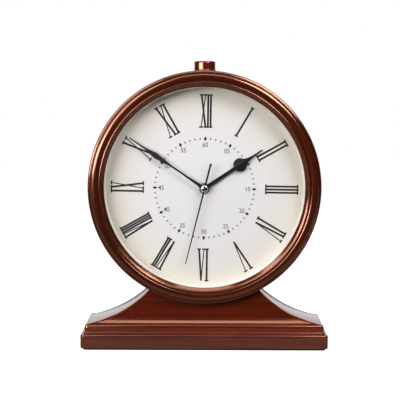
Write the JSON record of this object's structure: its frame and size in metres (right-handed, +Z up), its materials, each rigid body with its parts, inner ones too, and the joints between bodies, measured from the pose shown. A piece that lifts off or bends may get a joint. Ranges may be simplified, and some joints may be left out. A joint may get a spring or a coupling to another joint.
{
  "type": "mantel clock",
  "caption": "Drum-head mantel clock in gloss red-brown wood on a flared saddle and stepped base, with roman dial, black hands, quartz movement, rear access door and a sprung top button.",
  "frame": {"origin": "middle of the underside, on the surface the clock stands on", "axes": "+Z up, the dial faces -Y, +X to the right as the dial is read"},
  "size_m": [0.252, 0.078, 0.2932],
  "materials": {
    "lacquered_wood": "gloss lacquer over red-brown rosewood",
    "dark_lacquered_wood": "gloss lacquer over dark red-brown wood",
    "felt": "black felt pad",
    "glass": "clear polished flat glass",
    "gasket_rubber": "matte black",
    "cream_plastic": "satin cream",
    "dial_paint": "satin off-white print on aluminium",
    "black_hands": "satin black",
    "chrome": "bright polished",
    "brass": "lightly polished",
    "steel": "bright zinc-plated",
    "copper_wire": null,
    "black_plastic": "fine-grained moulded black",
    "white_plastic": "moulded natural white",
    "circuit_green": "solder-masked board",
    "battery_label": "printed sleeve"
  },
  "bodies": {
    "root": {"base_pad": "felt", "plinth": "dark_lacquered_wood", "step": "lacquered_wood", "saddle": "lacquered_wood", "base_screw_left": "steel", "base_screw_right": "steel", "drum_screw_left": "steel", "drum_screw_right": "steel", "drum": "lacquered_wood", "bezel": "lacquered_wood", "glass": "glass", "glass_gasket": "gasket_rubber", "rehaut": "cream_plastic", "dial": "dial_paint", "hand_nut": "brass", "nut_washer": "brass", "rubber_washer": "gasket_rubber", "movement_front": "black_plastic", "movement_back": "black_plastic", "gear_plate": "white_plastic", "stator": "steel", "coil_core": "steel", "coil_bobbin": "white_plastic", "coil_winding": "copper_wire", "circuit_board": "circuit_green", "quartz_crystal": "chrome", "battery": "battery_label", "contact_positive": "steel", "contact_negative": "steel", "rear_cover": "black_plastic", "door_magnet": "steel", "hinge_pin": "steel", "cover_screw_1": "steel", "cover_screw_2": "steel", "cover_screw_3": "steel", "cover_screw_4": "steel", "button_collar": "brass", "button_spring": "steel", "switch_bracket": "steel", "tact_switch": "black_plastic", "switch_lead": "gasket_rubber"},
    "seconds": {"second_hand": "black_hands", "hand_cap": "chrome", "seconds_wheel": "steel"},
    "rotor": {"rotor": "steel"},
    "intermediate": {"intermediate_wheel": "white_plastic"},
    "third": {"third_wheel": "white_plastic"},
    "centre": {"centre_wheel": "brass"},
    "minutes": {"minute_hand": "black_hands", "cannon_pinion": "brass"},
    "setting": {"setting_wheel": "white_plastic", "set_knob": "black_plastic"},
    "hours": {"hour_hand": "black_hands", "hour_wheel": "brass"},
    "button": {"top_button": "lacquered_wood", "button_clip": "steel"},
    "door": {"access_door": "black_plastic", "door_pull": "brass"}
  },
  "joints": [
    {"name": "second_hand_turn", "type": "hinge", "parent": "root", "child": "seconds", "pos_m": [0, 0, 0.16385], "axis": [0, 1, 0], "continuous": true},
    {"name": "rotor_turn", "type": "hinge", "parent": "root", "child": "rotor", "pos_m": [0.00425, 0, 0.18021], "axis": [0, 1, 0], "continuous": true},
    {"name": "intermediate_wheel_turn", "type": "hinge", "parent": "root", "child": "intermediate", "pos_m": [0, 0, 0.17285], "axis": [0, 1, 0], "continuous": true},
    {"name": "third_wheel_turn", "type": "hinge", "parent": "root", "child": "third", "pos_m": [-0.00779, 0, 0.16835], "axis": [0, 1, 0], "continuous": true},
    {"name": "centre_wheel_turn", "type": "hinge", "parent": "root", "child": "centre", "pos_m": [0, 0, 0.16385], "axis": [0, 1, 0], "continuous": true},
    {"name": "minute_hand_turn", "type": "hinge", "parent": "root", "child": "minutes", "pos_m": [0, 0, 0.16385], "axis": [0, 1, 0], "continuous": true},
    {"name": "set_knob_turn", "type": "hinge", "parent": "root", "child": "setting", "pos_m": [0.0108, 0, 0.16385], "axis": [0, 1, 0], "continuous": true},
    {"name": "hour_hand_turn", "type": "hinge", "parent": "root", "child": "hours", "pos_m": [0, 0, 0.16385], "axis": [0, 1, 0], "continuous": true},
    {"name": "button_press", "type": "slide", "parent": "root", "child": "button", "axis": [0, 0, -1], "range_m": [0, 0.003], "stiffness_N_per_m": 400, "springref_m": -0.003, "deforming": ["button_spring"]},
    {"name": "access_door_swing", "type": "hinge", "parent": "root", "child": "door", "pos_m": [-0.0532, 0.0282, 0.1652], "axis": [0, 0, 1], "range_deg": [0, 130]}
  ],
  "couplings": [
    {"joint": "rotor_turn", "follows": "second_hand_turn", "ratio": 30},
    {"joint": "intermediate_wheel_turn", "follows": "second_hand_turn", "ratio": -4},
    {"joint": "third_wheel_turn", "follows": "second_hand_turn", "ratio": -0.13333},
    {"joint": "centre_wheel_turn", "follows": "second_hand_turn", "ratio": 0.016667},
    {"joint": "set_knob_turn", "follows": "minute_hand_turn", "ratio": -0.33333},
    {"joint": "hour_hand_turn", "follows": "minute_hand_turn", "ratio": 0.083333}
  ]
}
